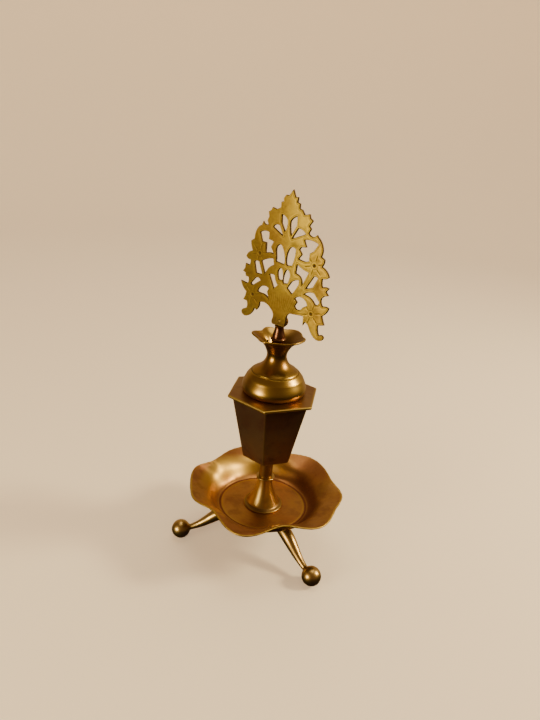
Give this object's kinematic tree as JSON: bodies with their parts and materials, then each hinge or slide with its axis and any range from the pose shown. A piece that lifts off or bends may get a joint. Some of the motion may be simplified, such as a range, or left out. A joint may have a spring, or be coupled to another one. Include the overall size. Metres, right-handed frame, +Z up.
{
  "type": "incense burner",
  "caption": "Small brass incense burner: petalled dish on three ball feet, six-sided cup with domed lid and a leaf-shaped stopper.",
  "frame": {"origin": "on the axis of the stem, cup and neck, at the level of the surface that the three feet stand on", "axes": "+Z up along the stem to the leaf; -Y is the front, midway between two legs; the third leg points along +Y"},
  "size_m": [0.0824, 0.088, 0.18],
  "materials": {
    "leg_brass": "dark aged brass, cast and polished by wear",
    "fastener_brass": "dull brass, oxidised",
    "dish_brass": "satin brass, hand beaten, with red-brown patina on the petals",
    "stem_brass": "turned brass, half polished",
    "cup_brass": "satin sheet brass, darkened in the corners",
    "flange_brass": "satin sheet brass, edges rubbed bright",
    "dome_brass": "spun brass, half polished",
    "stopper_brass": "dark turned brass",
    "leaf_brass": "brushed yellow brass, chased lines filled with tarnish"
  },
  "bodies": {
    "base": {"tripod_hub": "leg_brass", "leg_pins": "leg_brass", "leg_left": "leg_brass", "leg_right": "leg_brass", "leg_back": "leg_brass", "dish": "dish_brass", "foot_cone": "stem_brass", "stem_ring": "stem_brass", "stem": "stem_brass", "tie_rod": "fastener_brass", "lower_washer": "fastener_brass", "lower_nut": "fastener_brass", "cup_floor": "cup_brass", "cup_wall": "cup_brass", "upper_washer": "fastener_brass", "upper_nut": "fastener_brass"},
    "lid": {"flange": "flange_brass", "lid_skirt": "flange_brass", "dome": "dome_brass", "neck": "dome_brass"},
    "plug": {"stopper_plug": "stopper_brass"},
    "stopper": {"stopper_rod": "stopper_brass", "finial_plate": "leaf_brass", "finial_pin": "stopper_brass"}
  },
  "joints": [
    {"name": "lid_lift", "type": "slide", "parent": "base", "child": "lid", "axis": [0, 0, 1], "range_m": [0, 0.04]},
    {"name": "stopper_lift", "type": "slide", "parent": "lid", "child": "plug", "axis": [0, 0, 1], "range_m": [0, 0.03]},
    {"name": "stopper_turn", "type": "hinge", "parent": "plug", "child": "stopper", "pos_m": [0, 0, 0.105], "axis": [0, 0, 1], "continuous": true}
  ]
}
